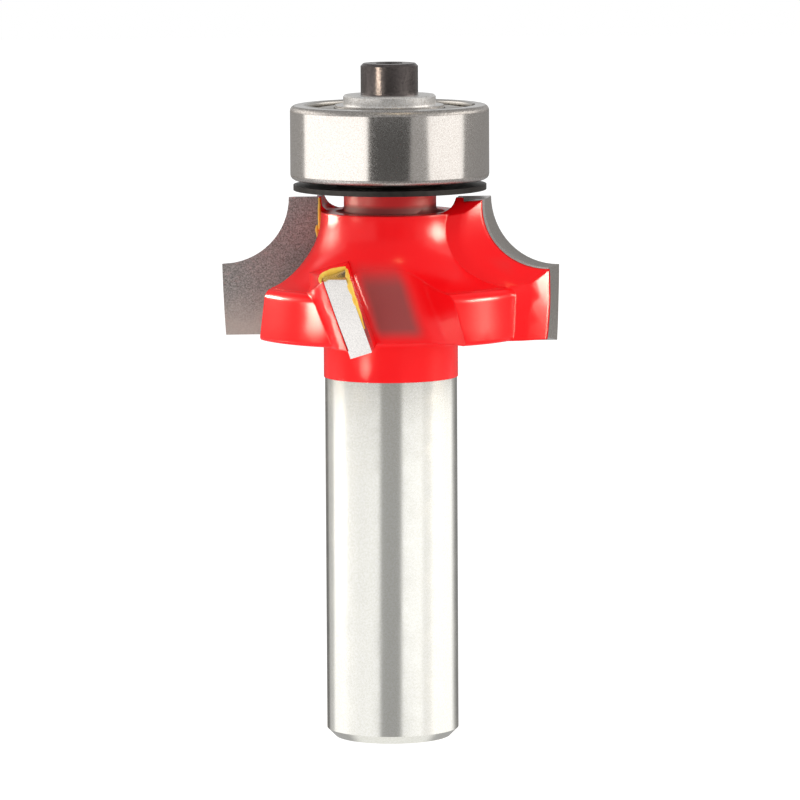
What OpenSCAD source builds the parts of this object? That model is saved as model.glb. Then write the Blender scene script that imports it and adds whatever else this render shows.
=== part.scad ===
// Rounding-over router bit with four brazed carbide tips and a ball-bearing guide.
// It stands on the free end of its shank: the origin is the centre of that end, +Z runs up the axis.

/* [Shank] */
// Diameter of the shank, a half-inch collet size
shank_d = 12.7; // [12:0.1:13.5]
// Length of the shank, from its free end to the underside of the head
shank_l = 38.87; // [30:0.5:60]
// Chamfer round the free end
shank_chamfer = 0.8; // [0.3:0.1:1.5]
// Step in radius where the enamelled neck starts
neck_step = 0.1; // [0:0.05:0.3]
// Length of the enamelled neck below the head
neck_l = 4; // [2:0.5:8]
// Fillet between the neck and the underside of the head
neck_fillet = 0.8; // [0.3:0.1:1.5]

/* [Head] */
// Diameter of the head between the wings
band_d = 26.4; // [25:0.1:27]
// How much wider the band is at its foot
band_taper = 0.5; // [0:0.05:0.5]
// Round on the bottom corner of the band
foot_round = 0.4; // [0.2:0.05:0.8]
// Height of the shoulder above the underside of the head
shoulder_h = 4.96; // [4:0.1:6]
// Round on the top corner of the band
band_round = 0.9; // [0.4:0.1:1.5]
// Diameter of the core that rises from the shoulder
core_d = 13.3; // [13:0.1:14]
// Radius of the hollow flare from the core to the shoulder
flare_r = 6.6; // [5.5:0.1:6.8]
// Depth of the ring groove in the top of the head
groove_depth = 1.4; // [0.8:0.1:1.8]
// Diameter of the neck that stands in that groove
journal_d = 8.86; // [8:0.1:9.2]
// Outer diameter of the groove
groove_d = 13.14; // [12:0.1:13.2]
// Fillet at the inner foot of the groove
groove_fillet_in = 0.55; // [0.2:0.05:0.8]
// Fillet at the outer foot of the groove
groove_fillet_out = 0.85; // [0.2:0.05:0.9]
// Height of the journal above the tops of the main tips
journal_rise = 0.68; // [0.4:0.04:1.6]

/* [Cutting profile] */
// Radius of the quarter round that the bit cuts
arc_r = 6.5; // [6:0.05:6.8]
// Length of the straight edge below the quarter round
straight_l = 7.08; // [6:0.1:9]
// Step from the guide bearing out to the top of the edge
guide_step = 0.16; // [0:0.02:0.4]
// How far the main tips stand below the head
tip_drop = 0.3; // [0:0.05:0.8]

/* [Main tips] */
// Thickness of a main tip
main_t = 2.2; // [1.6:0.1:2.8]
// Shear of a main tip, its lower end trailing
main_shear = 15.5; // [10:0.5:20]
// Hook of its face
main_hook = 4; // [0:0.5:8]
// How far the top of its edge leads the axis
main_lead = 0.25; // [-0.5:0.05:1]
// Distance from the axis to the inner side of a main tip
main_inner = 6.86; // [6.8:0.02:7.6]
// Opening angle of its gullet
main_gullet = 52.4; // [40:1:60]
// Slope of the steel's crest behind it
main_crest_slope = 38.6; // [10:1:45]

/* [Shear tips] */
// Thickness of a shear tip
shear_t = 2.2; // [1.5:0.1:2.6]
// Shear of a shear tip, its lower end leading
shear_shear = 19.6; // [10:0.5:24]
// Hook of its face, negative as its foot leads
shear_hook = -3.5; // [-8:0.5:4]
// How far the corner of its edge trails the axis
shear_lag = 4.18; // [3:0.1:5]
// Distance from the axis to the inner side of a shear tip
shear_inner = 12.3; // [11.5:0.1:13]
// Slope of its lower end
shear_end_slope = 20; // [0:1:24]
// Slope of the steel's crest behind it
shear_crest_slope = 18; // [10:1:45]
// Distance from the axis to the floor of its gullet
shear_floor = 8.1; // [7.5:0.1:9]
// Width of that floor
shear_floor_w = 5.6; // [4:0.2:7]

/* [Guide bearing] */
// Bore of the guide bearing
bearing_bore = 6.35; // [6:0.05:6.5]
// Outer diameter of the guide bearing
bearing_d = 19.05; // [18.6:0.05:19.5]
// Width of the guide bearing
bearing_w = 7.14; // [6.8:0.02:8]
// Diameter of a ball
ball_d = 3.175; // [2.8:0.025:3.3]
// Number of balls
ball_n = 7; // [6:1:7]
// Running clearance round the balls and the cage
ball_gap = 0.04; // [0.02:0.01:0.06]
// Thickness of a shield
shield_t = 0.3; // [0.2:0.05:0.4]
// Diameter of the wire that holds a shield
clip_d = 0.5; // [0.4:0.05:0.6]
// Thickness of the pressed cage
cage_t = 0.3; // [0.2:0.05:0.35]

/* [Screw and washers] */
// How far the rim of the dust washer stands inside the bearing's outer ring
dust_inset = 0.28; // [0:0.02:1]
// Thickness of its rim
dust_t = 0.5; // [0.3:0.05:0.7]
// Height of its raised middle, which keeps the rim off the outer ring
dust_rise = 0.47; // [0.3:0.01:0.8]
// Diameter of the retaining washer
washer_d = 8.86; // [8:0.1:9.2]
// Thickness of the retaining washer
washer_t = 0.96; // [0.6:0.02:1.4]
// Thread size of the cap screw
screw_d = 3; // [2.5:0.5:3]
// Length of the screw under its head
screw_l = 10; // [8:1:12]
// Diameter of the screw's head
screw_head_d = 5.5; // [5:0.1:6]
// Height of the screw's head
screw_head_h = 3; // [2.5:0.1:3.5]
// Hexagon key size
hex_af = 2.5; // [2:0.5:2.5]

/* [Hidden] */
$fn = 64;
FAR = 60;

shank_r = shank_d / 2;
neck_r = shank_r + neck_step;
band_r = band_d / 2;
foot_r = band_r + band_taper / 2;
core_r = core_d / 2;
head_z = shank_l;
tip_z = head_z - tip_drop;
corner_z = tip_z + straight_l;
top_z = corner_z + arc_r;
top_r = bearing_d / 2 + guide_step;
cut_r = top_r + arc_r;
shoulder_z = head_z + shoulder_h;
flare_z = shoulder_z + flare_r;
groove_z = top_z - groove_depth;
journal_z = top_z + journal_rise;
dust_top_z = journal_z + dust_t;
bearing_z = dust_top_z + dust_rise;
bearing_mid_z = bearing_z + bearing_w / 2;
bearing_top_z = bearing_z + bearing_w;
washer_top_z = bearing_top_z + washer_t;

// The bearing's inner arrangement
pitch_r = (bearing_bore + bearing_d) / 4;
ball_r = ball_d / 2;
race_r = ball_r + ball_gap;
inner_shoulder_r = pitch_r - 1.1;
outer_shoulder_r = pitch_r + 1.1;
ring_round = 0.55;
seat_depth = 0.75;
seat_r = outer_shoulder_r + 0.75;
shield_gap = 0.1;
cage_in_r = inner_shoulder_r + 0.35;
cage_out_r = outer_shoulder_r - 0.35;
rivet_r = 0.3;

// Spigot, thread and key
spigot_end_gap = 0.15;
thread_gap = 0.05;
hole_spare = 0.6;
washer_bore_r = screw_d / 2 + 0.15;
hex_depth = 1.3;
head_chamfer = 0.25;

// Relief of the flanks behind the edge: offset of the turning axis ahead of the tip, and its tilt
arc_relief = [1.6, 3.5];
straight_relief = [3.9, 7.6];
land_relief = [6, 38];
ramp_relief = [31, 45];
// How far the steel lies under the carbide, and the angle at which its outer side falls behind the face
steel_inset = 0.1;
steel_fall = 13;
// How far a profile runs on past the tip
SPARE = 3;
// Length of the land behind each plate, and a point on the crest
main_land = 0.9;
shear_land = 0.7;
main_crest = [0, main_lead - main_t / cos(main_shear) - main_land, top_z];
shear_crest = [0, -shear_lag, corner_z + 0.85];
// A tip as [shear, hook, y, x, z of a point on its edge]
main_tip = [main_shear, main_hook, main_lead, top_r, top_z];
shear_tip = [-shear_shear, shear_hook, -shear_lag, cut_r, corner_z];

// A wing is drawn along +X with the bit turning towards +Y, then turned to its place.

// y of the tip's face at x = 0, taken s behind the face, at height z
function face_start(tip, z, s) =
  tip[2] - tip[3] * tan(tip[1])
  + (z - tip[4]) * tan(tip[0]) / cos(tip[1]) - s / (cos(tip[0]) * cos(tip[1]));

// Point at radius r and height z on the plane that lies s behind the tip's face
function edge_point(tip, r, z, s) =
  let (b = tan(tip[1]), a = face_start(tip, z, s))
  let (x = (-a * b + sqrt(r * r * (1 + b * b) - a * a)) / (1 + b * b))
  [x, a + b * x, z];

// Distance from the turning axis, and height along it
function about_axis(relief, point) =
  let (v = point - [0, relief[0], top_z], u = [0, -sin(relief[1]), cos(relief[1])])
  let (along = v * u)
  [norm(v - along * u), along];

// Points of the quarter round from its top to its corner, enlarged by grow and lowered by drop
function quarter(steps, grow, drop) =
  [for (i = [0:steps]) let (a = 90 * i / steps)
    [cut_r - (arc_r + grow) * cos(a) - drop[0], top_z - (arc_r + grow) * sin(a) - drop[1]]];

// Points of the straight edge at radius r, from above the tip to below it
function straight(steps, r) =
  [for (i = [0:steps]) [r, top_z + SPARE + (tip_z - top_z - 2 * SPARE) * i / steps]];

// Points of a round between two sides of an outline
function round_points(centre, r, from, to, steps) =
  [for (i = [0:steps]) let (a = from + (to - from) * i / steps) centre + r * [cos(a), sin(a)]];

// A solid turned about an axis set ahead of the tip, through the profile [r, z] on the plane s behind its face
module relieved(tip, relief, s, profile) {
  turned = [for (p = profile) about_axis(relief, edge_point(tip, p[0], p[1], s))];
  last = turned[len(turned) - 1];
  translate([0, relief[0], top_z])
    rotate([relief[1], 0, 0])
      rotate_extrude($fn = 96)
        polygon(concat([[0, turned[0][1]]], turned, [[0, last[1]]]));
}

// Places its children in the tip's own frame: the face is y = 0, x runs outwards and z along the tip
module tip_frame(tip) {
  translate([tip[3], tip[2], tip[4]]) rotate([-tip[0], 0, tip[1]]) children();
}

// The seat of a tip: everything between its face and its back, from its inner side outwards
module tip_slab(tip, t, inner) {
  tip_frame(tip) translate([inner - tip[3], -t, -FAR]) cube([FAR, t, 2 * FAR]);
}

// A ground carbide tip: the slab, the flank along the quarter round and the flank along the straight edge
module carbide(tip, t, inner) {
  intersection() {
    tip_slab(tip, t, inner);
    relieved(tip, arc_relief, 0,
      concat(quarter(16, 0, [0, 0]), [[cut_r + SPARE, corner_z], [cut_r + SPARE, tip_z - SPARE]]));
    cylinder(r = FAR, h = top_z);
    relieved(tip, straight_relief, 0, straight(6, cut_r));
    children();
  }
}

// Steel behind a tip: a narrow land at the tip's own height, then a ramp down to the head
module wing(tip, t, land, crest, slope) {
  back = [t * tan(steel_fall) + steel_inset, t * tan(arc_relief[1]) + steel_inset];
  fall = back + land * [tan(22), tan(land_relief[1])];
  outer = [cut_r - back[0], tip_z - SPARE];
  intersection() {
    tip_frame(tip) translate([-tip[3], -FAR, -FAR]) cube([FAR, FAR, 2 * FAR]);
    relieved(tip, land_relief, t, concat(quarter(14, 0, back), [outer]));
    relieved(tip, ramp_relief, t + land,
      concat(quarter(14, 0, fall), [[cut_r - fall[0], tip_z - SPARE]]));
    translate([0, -band_r, head_z]) cube([FAR, 2 * band_r, top_z - head_z]);
    translate(crest) rotate([slope, 0, 0]) translate([-FAR, -FAR, -FAR]) cube([3 * FAR, 2 * FAR, FAR]);
  }
}

// Chip space ahead of a main tip: a vee whose root runs along the face
module main_chip_space() {
  l = FAR / 2;
  tip_frame(main_tip) translate([core_r - top_r, 0, -l])
    linear_extrude(2 * l)
      polygon([[0, 0], [l, 0], [l * cos(main_gullet), l * sin(main_gullet)]]);
}

// Chip space ahead of a shear tip: a flat floor with a round up to a sloping wall
module shear_chip_space() {
  l = FAR / 2;
  wall = 43;
  big = 3;
  small = 0.8;
  run = big * tan((90 - wall) / 2);
  tip_frame(shear_tip) translate([shear_floor - cut_r, 0, -l])
    linear_extrude(2 * l)
      polygon(concat(
        [[l, 0]],
        [[l, shear_floor_w + l * tan(wall)]],
        round_points([big, shear_floor_w - run], big, 90 + wall, 180, 6),
        round_points([small, small], small, 180, 270, 4)));
}

// Turned outline of the head, the neck and the shank, from the axis outwards
module body_outline() {
  difference() {
    union() {
      polygon([
        [0, 0], [shank_r - shank_chamfer, 0], [shank_r, shank_chamfer],
        [shank_r, head_z - neck_l], [neck_r, head_z - neck_l],
        [neck_r, head_z + 1], [0, head_z + 1]]);
      polygon(concat(
        [[0, head_z]],
        round_points([foot_r - foot_round, head_z + foot_round], foot_round, 270, 360, 4),
        [[band_r, shoulder_z - band_round], [0, shoulder_z - band_round]]));
      translate([0, head_z]) square([band_r - band_round, shoulder_h]);
      translate([band_r - band_round, shoulder_z - band_round]) circle(band_round);
      translate([0, head_z]) square([core_r, groove_z - head_z]);
      translate([0, shoulder_z - band_round])
        square([band_r - band_round, groove_z - shoulder_z + band_round - 0.4]);
      translate([0, groove_z - 1]) square([journal_d / 2, journal_z - groove_z + 1]);
      translate([0, journal_z - 1]) square([bearing_bore / 2, bearing_w + dust_t + dust_rise - spigot_end_gap + 1]);
      translate([neck_r, head_z - neck_fillet]) square(neck_fillet);
    }
    translate([core_r + flare_r, flare_z]) circle(flare_r);
    translate([core_r, flare_z]) square([band_r, FAR]);
    translate([core_r + flare_r, shoulder_z]) square([band_r, FAR]);
    translate([neck_r + neck_fillet, head_z - neck_fillet]) circle(neck_fillet);
  }
}

// Ring groove round the journal in the top of the head and the wings
module groove_outline() {
  in = journal_d / 2;
  out = groove_d / 2;
  polygon(concat(
    [[in, top_z + 1]],
    round_points([in + groove_fillet_in, groove_z + groove_fillet_in], groove_fillet_in, 180, 270, 5),
    round_points([out - groove_fillet_out, groove_z + groove_fillet_out], groove_fillet_out, 270, 360, 6),
    [[out, top_z + 1]]));
}

module cutter_body() {
  color([0.98, 0.14, 0.17])
    difference() {
      union() {
        rotate_extrude($fn = 96) body_outline();
        for (turn = [0, 180]) rotate(turn) wing(main_tip, main_t, main_land, main_crest, main_crest_slope);
        for (turn = [90, 270]) rotate(turn) wing(shear_tip, shear_t, shear_land, shear_crest, shear_crest_slope);
      }
      rotate_extrude($fn = 96) groove_outline();
      for (turn = [0, 180]) rotate(turn) {
        tip_slab(main_tip, main_t, main_inner);
        main_chip_space();
      }
      for (turn = [90, 270]) rotate(turn) {
        tip_slab(shear_tip, shear_t, shear_inner);
        shear_chip_space();
      }
      translate([0, 0, washer_top_z - screw_l - hole_spare])
        cylinder(r = screw_d / 2 + thread_gap, h = FAR);
    }
}

module main_carbide() {
  color([0.46, 0.42, 0.41])
    carbide(main_tip, main_t, main_inner)
      tip_frame(main_tip) translate([-FAR, -FAR, (tip_z - top_z) / cos(main_shear)]) cube(2 * FAR);
}

module shear_carbide() {
  low = edge_point(shear_tip, cut_r, head_z, 0);
  color([0.8, 0.79, 0.78])
    carbide(shear_tip, shear_t, shear_inner)
      translate(low) rotate([shear_end_slope, 0, 0]) translate([-FAR / 2, -FAR / 2, 0]) cube(FAR);
}

module main_tip_1() { rotate(180) main_carbide(); }
module main_tip_2() { main_carbide(); }
module shear_tip_1() { rotate(270) shear_carbide(); }
module shear_tip_2() { rotate(90) shear_carbide(); }

module dust_washer() {
  bore_r = bearing_bore / 2 + thread_gap;
  color([0.23, 0.22, 0.21])
    translate([0, 0, journal_z]) difference() {
      union() {
        cylinder(d = bearing_d - 2 * dust_inset, h = dust_t, $fn = 96);
        cylinder(r = inner_shoulder_r - 0.3, h = dust_t + dust_rise);
      }
      translate([0, 0, -1]) cylinder(r = bore_r, h = FAR);
    }
}

// Blank of a bearing ring between two radii, its outer or inner corners rounded
module ring_outline(r_in, r_out, round_in, round_out) {
  h = bearing_w / 2;
  polygon(concat(
    round_points([r_out - round_out, h - round_out], round_out, 90, 0, 4),
    round_points([r_out - round_out, -h + round_out], round_out, 0, -90, 4),
    round_points([r_in + round_in, -h + round_in], round_in, 270, 180, 4),
    round_points([r_in + round_in, h - round_in], round_in, 180, 90, 4)));
}

module bearing_inner_ring() {
  color([0.78, 0.78, 0.78])
    translate([0, 0, bearing_mid_z]) rotate_extrude($fn = 96) difference() {
      ring_outline(bearing_bore / 2, inner_shoulder_r, 0.25, 0.1);
      translate([pitch_r, 0]) circle(race_r);
    }
}

module bearing_outer_ring() {
  h = bearing_w / 2;
  color([0.86, 0.85, 0.84])
    translate([0, 0, bearing_mid_z]) rotate_extrude($fn = 96) difference() {
      ring_outline(outer_shoulder_r, bearing_d / 2, 0.1, ring_round);
      translate([pitch_r, 0]) circle(race_r);
      for (side = [-1, 1]) {
        translate([outer_shoulder_r - 1, side > 0 ? h - seat_depth : -h - 1])
          square([seat_r - outer_shoulder_r + 1, seat_depth + 1]);
        translate([seat_r - clip_d * 0.3, side * (h - seat_depth + shield_t + clip_d / 2)])
          circle(d = clip_d, $fn = 24);
      }
    }
}

// A shield lies on its seat in the outer ring and leaves a hair's breadth at the inner ring
module shield() {
  z = bearing_w / 2 - seat_depth;
  color([0.8, 0.79, 0.77])
    rotate_extrude($fn = 96) polygon([
      [outer_shoulder_r - 0.3, z], [seat_r - shield_gap, z], [seat_r - shield_gap, z + shield_t],
      [outer_shoulder_r - 0.6, z + shield_t], [outer_shoulder_r - 0.85, z + shield_t + 0.15],
      [inner_shoulder_r + shield_gap, z + shield_t + 0.15], [inner_shoulder_r + shield_gap, z + 0.15],
      [outer_shoulder_r - 0.6, z + 0.15]]);
}

// A spring wire sprung into its groove over the shield, open for a few millimetres
module shield_clip() {
  color([0.55, 0.55, 0.56])
    translate([0, 0, bearing_w / 2 - seat_depth + shield_t + clip_d / 2])
      rotate_extrude(angle = 325, $fn = 96)
        translate([seat_r - clip_d * 0.3, 0]) circle(d = clip_d - 0.02, $fn = 24);
}

module bearing_shield_top() { translate([0, 0, bearing_mid_z]) shield(); }
module bearing_shield_bottom() { translate([0, 0, bearing_mid_z]) mirror([0, 0, 1]) shield(); }
module shield_clip_top() { translate([0, 0, bearing_mid_z]) shield_clip(); }
module shield_clip_bottom() { translate([0, 0, bearing_mid_z]) mirror([0, 0, 1]) shield_clip(); }

// Children stand at each ball's place
module at_balls(shift = 0) {
  for (i = [0:ball_n - 1]) rotate(360 * (i + shift) / ball_n) translate([pitch_r, 0, 0]) children();
}

// Ring of the cage's own width
module cage_width(h) {
  difference() {
    cylinder(r = cage_out_r, h = h);
    translate([0, 0, -1]) cylinder(r = cage_in_r, h = h + 2);
  }
}

// Half of the cage: a flat ribbon that arches over each ball, with a rivet hole between them
module cage_half() {
  color([0.74, 0.72, 0.68])
    difference() {
      intersection() {
        union() {
          cylinder(r = cage_out_r + 1, h = cage_t);
          at_balls() sphere(race_r + cage_t);
        }
        cage_width(ball_d);
      }
      at_balls() sphere(race_r);
      at_balls(0.5) translate([0, 0, -1]) cylinder(r = rivet_r + 0.02, h = 3);
    }
}

module cage_upper() { translate([0, 0, bearing_mid_z]) cage_half(); }
module cage_lower() { translate([0, 0, bearing_mid_z]) mirror([0, 0, 1]) cage_half(); }

module cage_rivets() {
  head_h = 0.18;
  color([0.7, 0.7, 0.7])
    translate([0, 0, bearing_mid_z]) at_balls(0.5) {
      translate([0, 0, -cage_t]) cylinder(r = rivet_r, h = 2 * cage_t, $fn = 24);
      for (side = [0, 1]) mirror([0, 0, side])
        translate([0, 0, cage_t]) cylinder(r = rivet_r * 1.6, h = head_h, $fn = 24);
    }
}

module ball(i) {
  color([0.85, 0.85, 0.86])
    translate([0, 0, bearing_mid_z]) rotate(360 * (i - 1) / ball_n) translate([pitch_r, 0, 0]) sphere(ball_r);
}

module retaining_washer() {
  color([0.82, 0.82, 0.81])
    translate([0, 0, bearing_top_z]) rotate_extrude($fn = 96) polygon([
      [washer_bore_r, 0], [washer_d / 2, 0], [washer_d / 2, washer_t - 0.15],
      [washer_d / 2 - 0.15, washer_t], [washer_bore_r, washer_t]]);
}

module cap_screw() {
  r = screw_head_d / 2;
  color([0.23, 0.21, 0.21])
    translate([0, 0, washer_top_z]) difference() {
      union() {
        rotate_extrude($fn = 96) polygon([
          [0, 0], [r, 0], [r, screw_head_h - head_chamfer], [r - head_chamfer, screw_head_h], [0, screw_head_h]]);
        translate([0, 0, -screw_l]) cylinder(r = screw_d / 2, h = screw_l + 0.1);
      }
      translate([0, 0, screw_head_h - hex_depth])
        rotate(90) cylinder(d = hex_af / cos(30), h = hex_depth + 1, $fn = 6);
    }
}

cutter_body();
main_tip_1();
main_tip_2();
shear_tip_1();
shear_tip_2();
dust_washer();
bearing_inner_ring();
bearing_outer_ring();
bearing_shield_top();
bearing_shield_bottom();
shield_clip_top();
shield_clip_bottom();
cage_upper();
cage_lower();
cage_rivets();
ball(1);  // ball_1
ball(2);  // ball_2
ball(3);  // ball_3
ball(4);  // ball_4
ball(5);  // ball_5
ball(6);  // ball_6
ball(7);  // ball_7
retaining_washer();
cap_screw();
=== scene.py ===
import math

import bmesh
import bpy
from mathutils import Matrix, Vector


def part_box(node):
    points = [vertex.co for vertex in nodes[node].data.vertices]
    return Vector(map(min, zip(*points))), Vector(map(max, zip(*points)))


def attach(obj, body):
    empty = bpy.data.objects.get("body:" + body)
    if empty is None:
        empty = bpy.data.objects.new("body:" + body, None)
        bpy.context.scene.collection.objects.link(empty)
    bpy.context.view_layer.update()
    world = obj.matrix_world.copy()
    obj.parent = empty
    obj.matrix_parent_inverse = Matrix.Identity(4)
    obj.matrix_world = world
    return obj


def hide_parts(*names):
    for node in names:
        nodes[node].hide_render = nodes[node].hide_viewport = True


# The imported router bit: it stands on the free end of its shank, and +Z runs up the turning axis.
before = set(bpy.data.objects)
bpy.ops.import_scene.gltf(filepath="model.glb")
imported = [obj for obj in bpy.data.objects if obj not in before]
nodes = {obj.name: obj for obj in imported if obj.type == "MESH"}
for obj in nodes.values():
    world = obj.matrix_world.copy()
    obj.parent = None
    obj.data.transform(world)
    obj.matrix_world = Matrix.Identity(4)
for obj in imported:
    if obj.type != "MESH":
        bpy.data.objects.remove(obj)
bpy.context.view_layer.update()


# Cutter body: shank, neck, head and wings, turned and milled from one bar of tool steel.
# The shank is centreless ground and left bright. The neck and the head are sprayed with red
# enamel and baked. It flows before it sets, so it rounds the edges. Its hollows carry painted shade.

MM = 0.001
NECK_STEP_Z = 34.87 * MM
JOURNAL_TOP_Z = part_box("dust_washer")[0].z


def linear(colour):
    """The linear RGBA of an sRGB hex colour."""
    channels = [int(colour[i : i + 2], 16) / 255 for i in (1, 3, 5)]
    return (*[c / 12.92 if c <= 0.04045 else ((c + 0.055) / 1.055) ** 2.4 for c in channels], 1)


def add_node(tree, kind, links={}, **settings):
    """Adds a node to a tree. links gives sockets their value, or the socket that feeds them."""
    node = tree.nodes.new(kind)
    for name, value in settings.items():
        setattr(node, name, value)
    for name, value in links.items():
        socket = node.inputs[name]
        if isinstance(value, bpy.types.NodeSocket):
            tree.links.new(value, socket)
        else:
            socket.default_value = value
    return node


def new_material(name):
    """An empty material: its node tree, its surface shader and its Object coordinates."""
    material = bpy.data.materials.new(name)
    material.use_nodes = True
    tree = material.node_tree
    tree.nodes.clear()
    shader = add_node(tree, "ShaderNodeBsdfPrincipled")
    output = add_node(tree, "ShaderNodeOutputMaterial")
    tree.links.new(shader.outputs[0], output.inputs["Surface"])
    place = add_node(tree, "ShaderNodeTexCoord").outputs["Object"]
    return material, tree, shader, place


def bake(piece):
    """Turns what an object's modifiers make into its own mesh, and removes them."""
    graph = bpy.context.evaluated_depsgraph_get()
    mesh = bpy.data.meshes.new_from_object(piece.evaluated_get(graph), depsgraph=graph)
    piece.modifiers.clear()
    piece.data = mesh


def merged_copy(node, name, crease):
    """A node's mesh as a new object: triangles merged, smooth up to an angle, wide faces ruling."""
    mesh = bpy.data.meshes.new(name)
    work = bmesh.new()
    work.from_mesh(nodes[node].data)
    bmesh.ops.remove_doubles(work, verts=work.verts, dist=0.001 * MM)
    for edge in work.edges:
        edge.smooth = len(edge.link_faces) != 2 or edge.calc_face_angle(0) < math.radians(crease)
    for face in work.faces:
        face.smooth = True
    work.to_mesh(mesh)
    work.free()
    piece = bpy.data.objects.new(name, mesh)
    bpy.context.scene.collection.objects.link(piece)
    weighted = piece.modifiers.new("weighted", "WEIGHTED_NORMAL")
    weighted.weight = 90
    weighted.keep_sharp = True
    bake(piece)
    return piece


def stand_for(piece, node, body, slot, *materials):
    """Gives a piece its materials, lets it ride on a body and hides the node it stands for."""
    for material in materials:
        piece.data.materials.append(material)
    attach(piece, body)
    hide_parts(node)


# Stoving enamel: an even, saturated red under a hard gloss that flows over the corners, so the
# light breaks softly there, with a faint orange peel.
PEEL = 0.9 * MM
SHADE = 7 * MM
EDGE_ROUNDING = 0.22 * MM
enamel, tree, shader, place = new_material("red_stoving_enamel")
peel = add_node(tree, "ShaderNodeTexNoise", {"Vector": place, "Scale": 1 / PEEL, "Detail": 2.0})
shade = add_node(tree, "ShaderNodeTexNoise", {"Vector": place, "Scale": 1 / SHADE, "Detail": 3.0})
red = add_node(
    tree,
    "ShaderNodeMix",
    {"Factor": shade.outputs["Fac"], "A": linear("#F40A12"), "B": linear("#FD0E16")},
    data_type="RGBA",
)
rounding = add_node(tree, "ShaderNodeBevel", {"Radius": EDGE_ROUNDING}, samples=6)
waves = {"Height": peel.outputs["Fac"], "Strength": 0.12, "Distance": 0.02 * MM}
bump = add_node(tree, "ShaderNodeBump", {**waves, "Normal": rounding.outputs[0]})

# Painted shade: a darker, browner red painted on the four gullet floors, a quarter turn apart,
# which wind round the body as they rise, and in the groove at the foot of the bearing's journal.
GULLET_WIND = math.radians(2.1) / MM
GULLET_START = math.radians(-88.5)
axes = add_node(tree, "ShaderNodeSeparateXYZ", {0: place})
across = add_node(tree, "ShaderNodeCombineXYZ", {0: axes.outputs["X"], 1: axes.outputs["Y"]})
radius = add_node(tree, "ShaderNodeVectorMath", {0: across.outputs[0]}, operation="LENGTH")
angle = add_node(
    tree, "ShaderNodeMath", {0: axes.outputs["Y"], 1: axes.outputs["X"]}, operation="ARCTAN2"
)
winding = add_node(
    tree,
    "ShaderNodeMath",
    {0: axes.outputs["Z"], 1: GULLET_WIND, 2: GULLET_START},
    operation="MULTIPLY_ADD",
)
angle = add_node(tree, "ShaderNodeMath", {0: angle.outputs[0], 1: winding.outputs[0]}, operation="ADD")
aside = add_node(tree, "ShaderNodeMath", {0: angle.outputs[0], 1: math.pi / 4}, operation="PINGPONG")
# Each fade: what it reads, from and to, what it gives at either end, and how it goes between.
IN_GULLETS = (
    (aside.outputs[0], math.radians(9), math.radians(19), 1, 0, "SMOOTHSTEP"),
    (radius.outputs["Value"], 10.5 * MM, 13 * MM, 1, 0, "SMOOTHSTEP"),
    (axes.outputs["Z"], 38.8 * MM, 40.4 * MM, 0, 1, "SMOOTHSTEP"),
    (axes.outputs["Z"], 44 * MM, 47 * MM, 1, 0, "SMOOTHSTEP"),
)
IN_GROOVE = (
    (radius.outputs["Value"], 4.9 * MM, 5.3 * MM, 1, 0, "LINEAR"),
    (axes.outputs["Z"], 50.4 * MM, 50.7 * MM, 0, 0.9, "LINEAR"),
    (axes.outputs["Z"], 51.2 * MM, 51.6 * MM, 1, 0.15, "LINEAR"),
)
painted_shades = []
for fades in (IN_GULLETS, IN_GROOVE):
    shade_mask = 1.0
    for value, start, end, first, last, way in fades:
        limits = {"From Min": start, "From Max": end, "To Min": first, "To Max": last}
        fade = add_node(tree, "ShaderNodeMapRange", {"Value": value, **limits}, interpolation_type=way)
        both = {0: shade_mask, 1: fade.outputs["Result"]}
        shade_mask = add_node(tree, "ShaderNodeMath", both, operation="MULTIPLY").outputs[0]
    painted_shades.append(shade_mask)
painted_shade = add_node(tree, "ShaderNodeMath", {0: painted_shades[0], 1: painted_shades[1]}, operation="MAXIMUM")
# Painted shade: the masks mix the red towards a darker, browner red in the hollows.
shaded_red = add_node(
    tree,
    "ShaderNodeMix",
    {"Factor": painted_shade.outputs[0], "A": red.outputs["Result"], "B": linear("#9C4A49")},
    data_type="RGBA",
)
dull = add_node(
    tree,
    "ShaderNodeMapRange",
    {"Value": painted_shades[1], "From Min": 0.0, "From Max": 0.25, "To Min": 0.2, "To Max": 0.65},
)
tree.links.new(shaded_red.outputs["Result"], shader.inputs["Base Color"])
tree.links.new(bump.outputs[0], shader.inputs["Normal"])
tree.links.new(dull.outputs["Result"], shader.inputs["Roughness"])
shader.inputs["IOR"].default_value = 1.35

# Centreless-ground steel: near mirror and faintly clouded, with fine rings left by the wheel round
# the shank. The wheel's grit is drawn at 0.18 mm, coarser than the real one, so that it shows.
RINGS = 6 * MM
RING_SQUEEZE = 30
CLOUDS = 2.5 * MM
SHANK_GRIT = 0.18 * MM
shank_steel, tree, shader, place = new_material("centreless_ground_steel")
stretch = add_node(tree, "ShaderNodeMapping", {"Vector": place, "Scale": (1, 1, RING_SQUEEZE)})
rings = add_node(
    tree, "ShaderNodeTexNoise", {"Vector": stretch.outputs[0], "Scale": 1 / RINGS, "Detail": 4.0}
)
cloud = add_node(tree, "ShaderNodeTexNoise", {"Vector": place, "Scale": 1 / CLOUDS, "Detail": 5.0})
gloss = add_node(
    tree,
    "ShaderNodeMapRange",
    {"Value": cloud.outputs["Fac"], "From Min": 0.3, "From Max": 0.7, "To Min": 0.13, "To Max": 0.2},
)
grit = add_node(tree, "ShaderNodeTexNoise", {"Vector": place, "Scale": 1 / SHANK_GRIT, "Detail": 3.0})
freckles = add_node(
    tree, "ShaderNodeMapRange", {"Value": grit.outputs["Fac"], "From Min": 0.38, "From Max": 0.62}
)
tint = add_node(
    tree,
    "ShaderNodeMix",
    {"Factor": freckles.outputs["Result"], "A": linear("#E8E7DF"), "B": linear("#EFEEE9")},
    data_type="RGBA",
)
waves = {"Height": rings.outputs["Fac"], "Strength": 0.06, "Distance": 0.01 * MM}
bump = add_node(tree, "ShaderNodeBump", waves)
pits = {"Height": grit.outputs["Fac"], "Strength": 0.06, "Distance": 0.012 * MM}
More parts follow.
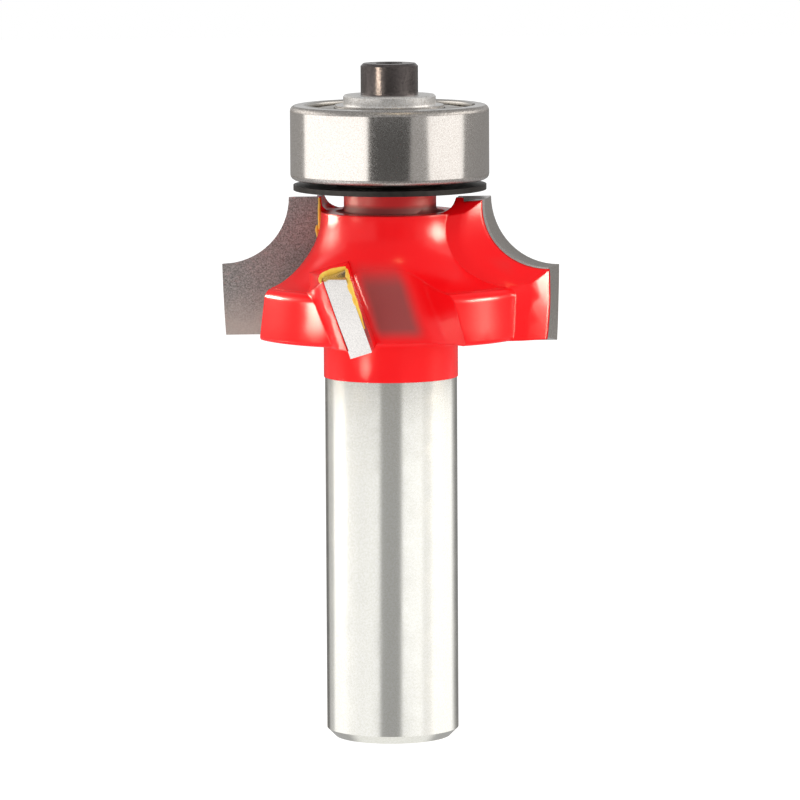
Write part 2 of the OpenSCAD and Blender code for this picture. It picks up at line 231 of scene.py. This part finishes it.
bump = add_node(tree, "ShaderNodeBump", {**pits, "Normal": bump.outputs[0]})
tree.links.new(tint.outputs["Result"], shader.inputs["Base Color"])
tree.links.new(gloss.outputs["Result"], shader.inputs["Roughness"])
tree.links.new(bump.outputs[0], shader.inputs["Normal"])
shader.inputs["Metallic"].default_value = 1.0

body = merged_copy("cutter_body", "enamelled_cutter_body", 32)
for face in body.data.polygons:
    height = face.center.z
    bright = height < NECK_STEP_Z or height > JOURNAL_TOP_Z - 0.001 * MM
    face.material_index = 1 if bright else 0
stand_for(body, "cutter_body", "root", "red_enamel", enamel, shank_steel)


# Carbide tips: plates of sintered tungsten carbide, brazed into the wings and then ground.
# Two large ones cut the quarter round, and two small ones at a quarter turn to them cut with a
# slanting edge at the rim.


def freckled(tree, place, grit, spread, dark, light):
    """Freckles of a ground surface: their grain and their colour, for a grit drawn in mm."""
    grain = add_node(
        tree,
        "ShaderNodeTexNoise",
        {"Vector": place, "Scale": 1 / (grit * MM), "Detail": 4.0, "Roughness": 0.7},
    )
    freckles = add_node(
        tree,
        "ShaderNodeMapRange",
        {"Value": grain.outputs["Fac"], "From Min": 0.5 - spread, "From Max": 0.5 + spread},
    )
    tint = add_node(
        tree,
        "ShaderNodeMix",
        {"Factor": freckles.outputs["Result"], "A": linear(dark), "B": linear(light)},
        data_type="RGBA",
    )
    return grain.outputs["Fac"], tint.outputs["Result"]


# Ground carbide, on the flanks: bright grey metal with the wheel's fine grain in it. The grit is
# drawn at 0.14 mm, coarser than the real one, so that it shows.
ground_carbide, tree, shader, place = new_material("ground_tungsten_carbide")
grain, tint = freckled(tree, place, 0.14, 0.14, "#D3D0CD", "#E3E0DD")
bump = add_node(tree, "ShaderNodeBump", {"Height": grain, "Strength": 0.16, "Distance": 0.012 * MM})
tree.links.new(tint, shader.inputs["Base Color"])
tree.links.new(bump.outputs[0], shader.inputs["Normal"])
shader.inputs["Metallic"].default_value = 1.0
shader.inputs["Roughness"].default_value = 0.24

# Lapped carbide, on the faces that the chips run over: duller and darker, freckled by the diamond
# grit, which is drawn at 0.15 mm so that it shows, and paler in a frayed patch low on the plate.
BLOOM = 2 * MM
BLOOM_FRAY = 3 * MM
lapped_carbide, tree, shader, place = new_material("lapped_tungsten_carbide")
grain, tint = freckled(tree, place, 0.15, 0.14, "#5E5F5E", "#A6A5A2")
axes = add_node(tree, "ShaderNodeSeparateXYZ", {0: place})
cloud = add_node(tree, "ShaderNodeTexNoise", {"Vector": place, "Scale": 1 / BLOOM, "Detail": 4.0})
frayed = add_node(
    tree,
    "ShaderNodeMath",
    {0: cloud.outputs["Fac"], 1: BLOOM_FRAY, 2: axes.outputs["Z"]},
    operation="MULTIPLY_ADD",
)
# Low on the plate the colour is mixed towards a paler beige grey.
limits = {"From Min": 40 * MM, "From Max": 45.5 * MM, "To Min": 0.75, "To Max": 0.0}
low = add_node(
    tree,
    "ShaderNodeMapRange",
    {"Value": frayed.outputs[0], **limits},
    interpolation_type="SMOOTHSTEP",
)
bloom = add_node(
    tree,
    "ShaderNodeMix",
    {"Factor": low.outputs["Result"], "A": tint, "B": linear("#B5AAA2")},
    data_type="RGBA",
)
tree.links.new(bloom.outputs["Result"], shader.inputs["Base Color"])
shader.inputs["Metallic"].default_value = 0.15
shader.inputs["Roughness"].default_value = 0.45

# Where each kind of tip stands: a point of its cutting edge in mm, its shear and its hook in degrees.
MAIN_EDGE = (9.685, 0.25, 52.15)
MAIN_SHEAR = 15.5
MAIN_HOOK = 4
SHEAR_EDGE = (16.185, -4.18, 45.65)
SHEAR_SHEAR = -19.6
SHEAR_HOOK = -3.5


def tip_place(turn, edge, shear, hook):
    """A tip's frame: its origin on the edge, x outwards, y ahead of the face, z along the tip."""
    return (
        Matrix.Rotation(math.radians(turn), 4, "Z")
        @ Matrix.Translation(Vector(edge) * MM)
        @ Matrix.Rotation(math.radians(hook), 4, "Z")
        @ Matrix.Rotation(math.radians(-shear), 4, "X")
    )


for node in ("main_tip_1", "main_tip_2", "shear_tip_1", "shear_tip_2"):
    tip = merged_copy(node, "ground_" + node, 20)
    if node.startswith("main"):
        turn = 180 if node.endswith("1") else 0
        ahead = tip_place(turn, MAIN_EDGE, MAIN_SHEAR, MAIN_HOOK).col[1].to_3d()
        for face in tip.data.polygons:
            lapped = face.normal.dot(ahead) > 0.99
            face.material_index = 1 if lapped else 0
    stand_for(tip, node, "root", "carbide", ground_carbide, lapped_carbide)


# Braze: silver solder that joins each tip to its seat. What ran out stands as a fine bead along
# the seat's edges. On the small tips it also caps the steel crest, and a bead runs down the face
# by its edge, partly braze and partly a painted reflection of the face's pale sheen.

# Silver braze: heat and flux leave it a soft golden yellow, in flowing lighter and darker patches.
FLOW = 0.7 * MM
silver_braze, tree, shader, place = new_material("silver_braze")
flow = add_node(tree, "ShaderNodeTexNoise", {"Vector": place, "Scale": 1 / FLOW, "Detail": 3.0})
tint = add_node(
    tree,
    "ShaderNodeMix",
    {"Factor": flow.outputs["Fac"], "A": linear("#F0A800"), "B": linear("#FFE56E")},
    data_type="RGBA",
)
waves = {"Height": flow.outputs["Fac"], "Strength": 0.3, "Distance": 0.05 * MM}
bump = add_node(tree, "ShaderNodeBump", waves)
tree.links.new(tint.outputs["Result"], shader.inputs["Base Color"])
tree.links.new(bump.outputs[0], shader.inputs["Normal"])
shader.inputs["Metallic"].default_value = 0.1
shader.inputs["Roughness"].default_value = 0.35

# A bead: a round string along a path, whose width follows the path's and ripples by a share of it.
BEAD_STEP = 0.12 * MM
BEAD_WAVE = 0.8 * MM
bead_tree = bpy.data.node_groups.new("braze_bead", "GeometryNodeTree")
bead_tree.interface.new_socket("Path", in_out="INPUT", socket_type="NodeSocketGeometry")
bead_inputs = {}
for name, kind, value in (
    ("Ripple", "NodeSocketFloat", 0.25),
    ("Seed", "NodeSocketInt", 3),
    ("Finish", "NodeSocketMaterial", silver_braze),
):
    socket = bead_tree.interface.new_socket(name, in_out="INPUT", socket_type=kind)
    bead_inputs[socket.identifier] = value
bead_tree.interface.new_socket("Bead", in_out="OUTPUT", socket_type="NodeSocketGeometry")
inlet = add_node(bead_tree, "NodeGroupInput")
width = add_node(bead_tree, "GeometryNodeInputNamedAttribute", {"Name": "width"}, data_type="FLOAT")
curve = add_node(bead_tree, "GeometryNodeMeshToCurve", {"Mesh": inlet.outputs["Path"]})
curve = add_node(
    bead_tree,
    "GeometryNodeResampleCurve",
    {"Curve": curve.outputs[0], "Length": BEAD_STEP},
    mode="LENGTH",
)
wave = add_node(
    bead_tree,
    "ShaderNodeTexNoise",
    {"W": inlet.outputs["Seed"], "Scale": 1 / BEAD_WAVE, "Detail": 2.0},
    noise_dimensions="4D",
)
wave = add_node(
    bead_tree,
    "ShaderNodeMapRange",
    {"Value": wave.outputs["Fac"], "From Min": 0.3, "From Max": 0.7, "To Min": -1.0, "To Max": 1.0},
)
wave = add_node(
    bead_tree,
    "ShaderNodeMath",
    {0: wave.outputs["Result"], 1: inlet.outputs["Ripple"], 2: 1.0},
    operation="MULTIPLY_ADD",
)
size = add_node(
    bead_tree,
    "ShaderNodeMath",
    {0: wave.outputs[0], 1: width.outputs["Attribute"]},
    operation="MULTIPLY",
)
profile = add_node(
    bead_tree, "GeometryNodeCurvePrimitiveCircle", {"Resolution": 12, "Radius": 1.0}, mode="RADIUS"
)
tube = add_node(
    bead_tree,
    "GeometryNodeCurveToMesh",
    {
        "Curve": curve.outputs[0],
        "Profile Curve": profile.outputs["Curve"],
        "Scale": size.outputs[0],
        "Fill Caps": True,
    },
)
smooth = add_node(bead_tree, "GeometryNodeSetShadeSmooth", {"Geometry": tube.outputs[0]})
real = add_node(bead_tree, "GeometryNodeRealizeInstances", {"Geometry": smooth.outputs[0]})
finish = add_node(
    bead_tree,
    "GeometryNodeSetMaterial",
    {"Geometry": real.outputs[0], "Material": inlet.outputs["Finish"]},
)
add_node(bead_tree, "NodeGroupOutput", {"Bead": finish.outputs[0]})

# The beads' paths in each tip's own frame: x, y, z and the bead's half width, all in mm.
MAIN_BEADS = (
    (
        (-2.93, 0.02, -0.12, 0.12),
        (-2.93, 0.02, -1.5, 0.14),
        (-2.95, 0.03, -3.0, 0.15),
        (-3.15, 0.0, -3.9, 0.1),
    ),
    ((-2.75, -0.05, -2.9, 0.1), (-2.7, -0.1, -3.4, 0.2), (-2.85, -0.05, -4.2, 0.14)),
)
SHEAR_BEADS = (
    (
        (-3.75, 0.05, 0.8, 0.2),
        (-3.7, -0.7, 0.86, 0.3),
        (-3.6, -1.5, 0.88, 0.34),
        (-3.4, -2.2, 0.86, 0.3),
        (-2.8, -2.45, 0.74, 0.2),
        (-2.0, -2.45, 0.6, 0.14),
        (-1.3, -2.4, 0.5, 0.08),
    ),
    # The run down the face: partly braze, partly a painted reflection of the face's pale sheen.
    (
        (-3.6, 0.08, 0.66, 0.14),
        (-2.0, 0.1, 0.1, 0.2),
        (-0.75, 0.1, -0.6, 0.26),
        (-0.6, 0.1, -2.2, 0.24),
        (-0.6, 0.04, -4.9, 0.08),
    ),
)
points = []
lines = []
half_widths = []
for turns, edge, shear, hook, paths in (
    ((0, 180), MAIN_EDGE, MAIN_SHEAR, MAIN_HOOK, MAIN_BEADS),
    ((90, 270), SHEAR_EDGE, SHEAR_SHEAR, SHEAR_HOOK, SHEAR_BEADS),
):
    for turn in turns:
        to_world = tip_place(turn, edge, shear, hook)
        for path in paths:
            start = len(points)
            lines += [(start + i, start + i + 1) for i in range(len(path) - 1)]
            points += [to_world @ (Vector(stop[:3]) * MM) for stop in path]
            half_widths += [stop[3] * MM for stop in path]
mesh = bpy.data.meshes.new("braze_beads_and_face_sheen")
mesh.from_pydata(points, lines, [])
mesh.attributes.new("width", "FLOAT", "POINT").data.foreach_set("value", half_widths)
beads = bpy.data.objects.new("braze_beads_and_face_sheen", mesh)
bpy.context.scene.collection.objects.link(beads)
grow = beads.modifiers.new("bead", "NODES")
grow.node_group = bead_tree
for identifier, value in bead_inputs.items():
    grow[identifier] = value
bake(beads)
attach(beads, "root")


# Dust washer: a washer pressed from sheet steel and phosphated.
# Its raised middle carries the inner ring, so the rim stays clear of the turning one.

# Phosphated steel: crystals of about half a millimetre give a dull, patchy charcoal grey.
CRYSTALS = 0.5 * MM
phosphate, tree, shader, place = new_material("dark_phosphated_steel")
crystals = add_node(tree, "ShaderNodeTexNoise", {"Vector": place, "Scale": 1 / CRYSTALS, "Detail": 4.0})
tint = add_node(
    tree,
    "ShaderNodeMix",
    {"Factor": crystals.outputs["Fac"], "A": linear("#292725"), "B": linear("#4B4744")},
    data_type="RGBA",
)
waves = {"Height": crystals.outputs["Fac"], "Strength": 0.3, "Distance": 0.02 * MM}
bump = add_node(tree, "ShaderNodeBump", waves)
tree.links.new(tint.outputs["Result"], shader.inputs["Base Color"])
tree.links.new(bump.outputs[0], shader.inputs["Normal"])
shader.inputs["Metallic"].default_value = 0.7
shader.inputs["Roughness"].default_value = 0.4

washer = merged_copy("dust_washer", "phosphated_dust_washer", 30)
stand_for(washer, "dust_washer", "root", "dark_washer", phosphate)


# Guide bearing: hardened chromium steel rings, ground and honed, with seven lapped balls in a
# riveted pressed cage. Thin steel shields close both sides, each held by a snap wire.

# Honed steel: near mirror, broken up by a fine even grain that softens what it reflects. The hone's
# grit is drawn at 0.13 mm, coarser than the real one, so that it shows.
ring_steel, tree, shader, place = new_material("honed_bearing_steel")
hone, tint = freckled(tree, place, 0.13, 0.12, "#E4E0DC", "#FBFAF8")
gloss = add_node(
    tree,
    "ShaderNodeMapRange",
    {"Value": hone, "From Min": 0.3, "From Max": 0.7, "To Min": 0.12, "To Max": 0.22},
)
bump = add_node(tree, "ShaderNodeBump", {"Height": hone, "Strength": 0.1, "Distance": 0.012 * MM})
tree.links.new(tint, shader.inputs["Base Color"])
tree.links.new(gloss.outputs["Result"], shader.inputs["Roughness"])
tree.links.new(bump.outputs[0], shader.inputs["Normal"])
shader.inputs["Metallic"].default_value = 1.0

# Tumbled corners: the barrel leaves the rings' roundings matt, so they gather a wide soft light.
# Their pits are drawn at 0.13 mm, coarser than the real ones, so that they show.
corner_steel, tree, shader, place = new_material("tumbled_corner_steel")
pits, tint = freckled(tree, place, 0.13, 0.12, "#99948F", "#D9D5D1")
tree.links.new(tint, shader.inputs["Base Color"])
shader.inputs["Metallic"].default_value = 1.0
shader.inputs["Roughness"].default_value = 0.38

# Bright sheet steel, of the shields, wires and cage: rolled, so its shine varies softly.
ROLLING = 0.4 * MM
sheet_steel, tree, shader, place = new_material("bright_sheet_steel")
rolled = add_node(tree, "ShaderNodeTexNoise", {"Vector": place, "Scale": 1 / ROLLING, "Detail": 4.0})
gloss = add_node(
    tree,
    "ShaderNodeMapRange",
    {"Value": rolled.outputs["Fac"], "From Min": 0.3, "From Max": 0.7, "To Min": 0.25, "To Max": 0.38},
)
tree.links.new(gloss.outputs["Result"], shader.inputs["Roughness"])
shader.inputs["Base Color"].default_value = linear("#CBC8C3")
shader.inputs["Metallic"].default_value = 1.0

# A rounding's faces are those whose normals neither lie level nor stand upright.
CORNER_SLOPE = (0.15, 0.97)
for node, name, body_name, slot, material in (
    ("bearing_outer_ring", "honed_outer_ring", "outer_ring", "bearing_ring", ring_steel),
    ("bearing_inner_ring", "honed_inner_ring", "root", "bearing_ring", ring_steel),
    ("bearing_shield_top", "upper_shield", "outer_ring", "shield", sheet_steel),
    ("bearing_shield_bottom", "lower_shield", "outer_ring", "shield", sheet_steel),
    ("shield_clip_top", "upper_snap_wire", "outer_ring", "clip_wire", sheet_steel),
    ("shield_clip_bottom", "lower_snap_wire", "outer_ring", "clip_wire", sheet_steel),
    ("cage_upper", "upper_cage_half", "ball_cage", "cage", sheet_steel),
    ("cage_lower", "lower_cage_half", "ball_cage", "cage", sheet_steel),
    ("cage_rivets", "cage_rivet_set", "ball_cage", "cage", sheet_steel),
):
    piece = merged_copy(node, name, 32)
    if material == ring_steel:
        for face in piece.data.polygons:
            corner = CORNER_SLOPE[0] < abs(face.normal.z) < CORNER_SLOPE[1]
            face.material_index = 1 if corner else 0
    stand_for(piece, node, body_name, slot, material, corner_steel)

for number in range(1, 8):
    node = f"ball_{number}"
    piece = merged_copy(node, f"lapped_ball_{number}", 60)
    stand_for(piece, node, "rolling_" + node, "ball", ring_steel)


# Retaining washer: a thick washer of turned steel, plated with bright zinc.
# The screw clamps it on the inner ring, so it keeps the bearing on its journal.

# Bright zinc: a pale, silvery, slightly milky shine. Its spangle is drawn at 0.15 mm, coarser than
# the real one, so that it shows.
zinc_plate, tree, shader, place = new_material("bright_zinc_plated_steel")
spangle, tint = freckled(tree, place, 0.15, 0.12, "#DAD7D2", "#FFFFFF")
tree.links.new(tint, shader.inputs["Base Color"])
shader.inputs["Metallic"].default_value = 0.85
shader.inputs["Roughness"].default_value = 0.32

piece = merged_copy("retaining_washer", "plated_retaining_washer", 30)
stand_for(piece, "retaining_washer", "root", "plated_washer", zinc_plate)


# Cap screw: an M3 socket head screw, forged from alloy steel and blackened in hot oxide salts.
# It is screwed into the end of the journal and holds the bearing.

# Black oxide: a thin brownish-black film that lets the metal's own shine through in patches.
OXIDE = 0.25 * MM
black_oxide, tree, shader, place = new_material("black_oxide_steel")
oxide = add_node(tree, "ShaderNodeTexNoise", {"Vector": place, "Scale": 1 / OXIDE, "Detail": 5.0})
tint = add_node(
    tree,
    "ShaderNodeMix",
    {"Factor": oxide.outputs["Fac"], "A": linear("#474243"), "B": linear("#857E7C")},
    data_type="RGBA",
)
tree.links.new(tint.outputs["Result"], shader.inputs["Base Color"])
shader.inputs["Metallic"].default_value = 0.9
shader.inputs["Roughness"].default_value = 0.24

screw = merged_copy("cap_screw", "blackened_cap_screw", 30)
stand_for(screw, "cap_screw", "root", "black_oxide", black_oxide)


# Studio: a pale floor that keeps a soft shadow, a white box at each side and a warm spot above.
# Small lamps that light one piece make its highlights, and curved cards that only reflections see
# give the bright metal its bands. The camera stands a little above the bit.

floor_material = bpy.data.materials.new("pale_floor")
floor_material.use_nodes = True
tree = floor_material.node_tree
tree.nodes.clear()
light_path = add_node(tree, "ShaderNodeLightPath")
pale = add_node(tree, "ShaderNodeBsdfDiffuse", {"Color": (0.8, 0.8, 0.8, 1)})
white = add_node(tree, "ShaderNodeEmission", {"Color": (1, 1, 1, 1), "Strength": 1.2})
shown = add_node(tree, "ShaderNodeMixShader", {0: 0.8, 1: pale.outputs[0], 2: white.outputs[0]})
clear = add_node(tree, "ShaderNodeBsdfTransparent")
mixed = add_node(
    tree,
    "ShaderNodeMixShader",
    {0: light_path.outputs["Is Glossy Ray"], 1: shown.outputs[0], 2: clear.outputs[0]},
)
add_node(tree, "ShaderNodeOutputMaterial", {"Surface": mixed.outputs[0]})

floor_mesh = bpy.data.meshes.new("floor")
work = bmesh.new()
bmesh.ops.create_circle(work, cap_ends=True, segments=64, radius=1.2)
work.to_mesh(floor_mesh)
work.free()
floor_mesh.materials.append(floor_material)
floor = bpy.data.objects.new("floor", floor_mesh)
bpy.context.scene.collection.objects.link(floor)

world = bpy.data.worlds.new("studio")
bpy.context.scene.world = world
world.use_nodes = True
tree = world.node_tree
tree.nodes.clear()
light_path = add_node(tree, "ShaderNodeLightPath")
direction = add_node(tree, "ShaderNodeTexCoord").outputs["Generated"]
parts = add_node(tree, "ShaderNodeSeparateXYZ", {0: direction})
toward = add_node(tree, "ShaderNodeMath", {0: parts.outputs["Y"], 1: -1.0}, operation="MULTIPLY")
azimuth = add_node(
    tree, "ShaderNodeMath", {0: parts.outputs["X"], 1: toward.outputs[0]}, operation="ARCTAN2"
)
turn = add_node(
    tree,
    "ShaderNodeMapRange",
    {"Value": azimuth.outputs[0], "From Min": -math.pi, "From Max": math.pi},
)

# What bright metal mirrors: grey levels by azimuth in degrees, at eye level and lower down.
LEVEL = (
    (-180, 0.45), (-160, 0.14), (-150, 0.14), (-142, 0.5), (-126, 0.6), (-119, 1.25), (-92, 1.25),
    (-84, 1.08), (-55, 1.0), (-24, 1.08), (-17, 0.42), (14, 0.4), (20, 1.25), (52, 1.25),
    (58, 1.0), (70, 1.0), (78, 1.25), (128, 1.25), (138, 0.5), (150, 0.22), (165, 0.2), (180, 0.45),
)
LOW = (
    (-180, 0.4), (-104, 0.5), (-94, 1.4), (-38, 1.4), (-28, 0.5), (-18, 0.24), (30, 0.24),
    (45, 0.6), (180, 0.4),
)
STRAIGHT_DOWN = (0.95, 0.95, 0.93, 1)
ABOVE = (0.55, 0.55, 0.55, 1)
OVERHEAD = (0.4, 0.4, 0.4, 1)


def round_the_sky(levels):
    """A ramp of grey levels by the direction's azimuth in degrees."""
    ramp = add_node(tree, "ShaderNodeValToRGB", {"Fac": turn.outputs["Result"]})
    elements = ramp.color_ramp.elements
    while len(elements) < len(levels):
        elements.new(0.5)
    for element, (angle, value) in zip(elements, levels):
        element.position = (angle + 180) / 360
        element.color = (value, value, value, 1)
    return ramp.outputs["Color"]


def blend_by_height(start, end, below, above):
    """Goes from one picture of the sky to another between two heights, as sines of elevation."""
    height = add_node(
        tree,
        "ShaderNodeMapRange",
        {"Value": parts.outputs["Z"], "From Min": start, "From Max": end},
        interpolation_type="SMOOTHSTEP",
    )
    sides = {"Factor": height.outputs["Result"], "A": below, "B": above}
    return add_node(tree, "ShaderNodeMix", sides, data_type="RGBA").outputs["Result"]


dome = blend_by_height(-0.85, -0.7, STRAIGHT_DOWN, round_the_sky(LOW))
dome = blend_by_height(-0.25, -0.19, dome, round_the_sky(LEVEL))
dome = blend_by_height(0.03, 0.09, dome, ABOVE)
dome = blend_by_height(0.28, 0.5, dome, OVERHEAD)
around = add_node(tree, "ShaderNodeBackground", {"Color": dome, "Strength": 1.0})
ambient = add_node(tree, "ShaderNodeBackground", {"Color": (1, 1, 1, 1), "Strength": 0.95})
backdrop = add_node(tree, "ShaderNodeBackground", {"Color": (1, 1, 1, 1), "Strength": 1.0})
lit = add_node(
    tree,
    "ShaderNodeMixShader",
    {0: light_path.outputs["Is Glossy Ray"], 1: ambient.outputs[0], 2: around.outputs[0]},
)
shown = add_node(
    tree,
    "ShaderNodeMixShader",
    {0: light_path.outputs["Is Camera Ray"], 1: lit.outputs[0], 2: backdrop.outputs[0]},
)
add_node(tree, "ShaderNodeOutputWorld", {"Surface": shown.outputs[0]})

SOFT_WHITE = "#FFF9F2"
WARM_WHITE = "#FFF0DA"
AMBER = "#FFDC9C"
CARD_WHITE = "#FFFAF5"


def softbox(name, aim_z, azimuth, elevation, distance, width, height, radiance, tint, shape, only=None):
    """A lamp aimed at a point of the axis; mm and degrees. only names the one piece it lights."""
    lamp = bpy.data.lights.new(name, "AREA")
    lamp.shape = shape
    lamp.size = width * MM
    lamp.size_y = height * MM
    lamp.energy = radiance * math.pi * width * height * MM * MM
    lamp.color = linear(tint)[:3]
    holder = bpy.data.objects.new(name, lamp)
    a = math.radians(azimuth)
    e = math.radians(elevation)
    away = Vector((math.sin(a) * math.cos(e), -math.cos(a) * math.cos(e), math.sin(e)))
    holder.location = Vector((0, 0, aim_z * MM)) + away * distance * MM
    holder.rotation_euler = away.to_track_quat("Z", "Y").to_euler()
    bpy.context.scene.collection.objects.link(holder)
    if only:
        lit = bpy.data.collections.new(name + "_lights")
        lit.objects.link(only)
        holder.light_linking.receiver_collection = lit
        holder.visible_diffuse = False


softbox("left_softbox", 45, -110, 18, 600, 600, 400, 1.3, SOFT_WHITE, "RECTANGLE")
softbox("right_softbox", 45, 90, 18, 600, 600, 400, 1.3, SOFT_WHITE, "RECTANGLE")
softbox("top_spot", 45, 18, 63, 600, 70, 70, 10, AMBER, "ELLIPSE")
softbox("flare_left_lamp", 49.6, -102, 0, 40, 17, 5.4, 60, WARM_WHITE, "RECTANGLE", body)
softbox("flare_left_high_lamp", 49, -111, 13, 600, 270, 170, 46, WARM_WHITE, "RECTANGLE", body)
softbox("flare_right_high_lamp", 49, 84, 12, 600, 330, 200, 50, WARM_WHITE, "ELLIPSE", body)
softbox("band_lamp", 43.3, -55, 0, 40, 9, 3.2, 100, WARM_WHITE, "RECTANGLE", body)
softbox("neck_lamp", 41.2, -43, -20.5, 20, 7.6, 1.4, 7, WARM_WHITE, "RECTANGLE", body)
softbox("low_lamp", 12, -97, 0, 80, 20, 8, 22, WARM_WHITE, "RECTANGLE", body)
softbox("screw_lamp", 63.4, -43.5, -3.65, 110, 31, 7.3, 25, WARM_WHITE, "RECTANGLE", screw)

# The neck's lamp shines upwards in a narrow beam, so that it misses the bright shank below.
bpy.data.lights["neck_lamp"].spread = math.radians(30)


def card(name, start, end, low, high, level, reach):
    """A curved card round the axis that only reflections see: degrees, mm and brightness."""
    material = bpy.data.materials.new(name)
    material.use_nodes = True
    tree = material.node_tree
    tree.nodes.clear()
    glow = add_node(tree, "ShaderNodeEmission", {"Color": linear(CARD_WHITE), "Strength": level})
    add_node(tree, "ShaderNodeOutputMaterial", {"Surface": glow.outputs[0]})
    mesh = bpy.data.meshes.new(name)
    work = bmesh.new()
    rows = []
    for i in range(25):
        a = math.radians(start + (end - start) * i / 24)
        x = reach * MM * math.sin(a)
        y = -reach * MM * math.cos(a)
        rows.append((work.verts.new((x, y, low * MM)), work.verts.new((x, y, high * MM))))
    for (a, b), (c, d) in zip(rows, rows[1:]):
        work.faces.new((a, c, d, b))
    work.to_mesh(mesh)
    work.free()
    mesh.materials.append(material)
    piece = bpy.data.objects.new(name, mesh)
    piece.visible_camera = False
    piece.visible_diffuse = False
    piece.visible_shadow = False
    piece.visible_transmission = False
    bpy.context.scene.collection.objects.link(piece)


# Far cards for the enamel and the screw.
card("red_card", -150, 150, 21.5, 66, 0.35, 120)
card("flank_card", 93, 143, 35, 46, 0.22, 119)
card("screw_card", -18, 115, 54, 61, 0.05, 119)

# Near cards round the bearing, from its left edge to its right one.
card("edge_card", -150, -101, 50, 60.5, 0.3, 30)
card("left_card", -101, -21, 50, 60.5, 1.25, 30)
card("dark_card", -21, 20, 50, 60.5, 0.07, 30)
card("grey_card", 20, 38, 50, 60.5, 0.33, 30)
card("pale_card", 38, 81, 50, 60.5, 1.05, 30)
card("side_card", 81, 150, 50, 60.5, 0.25, 30)

PITCH = math.radians(90 - 6.70)
ROLL = math.radians(-0.324)
STANDPOINT = (0, -0.5677, 0.0992)
camera_data = bpy.data.cameras.new("camera")
camera_data.lens = 267.7
camera_data.sensor_width = 36
camera_data.shift_x = 0.0111
camera = bpy.data.objects.new("camera", camera_data)
camera.matrix_world = (
    Matrix.Translation(STANDPOINT) @ Matrix.Rotation(PITCH, 4, "X") @ Matrix.Rotation(ROLL, 4, "Z")
)
bpy.context.scene.collection.objects.link(camera)
bpy.context.scene.camera = camera
bpy.context.scene.view_settings.view_transform = "Standard"
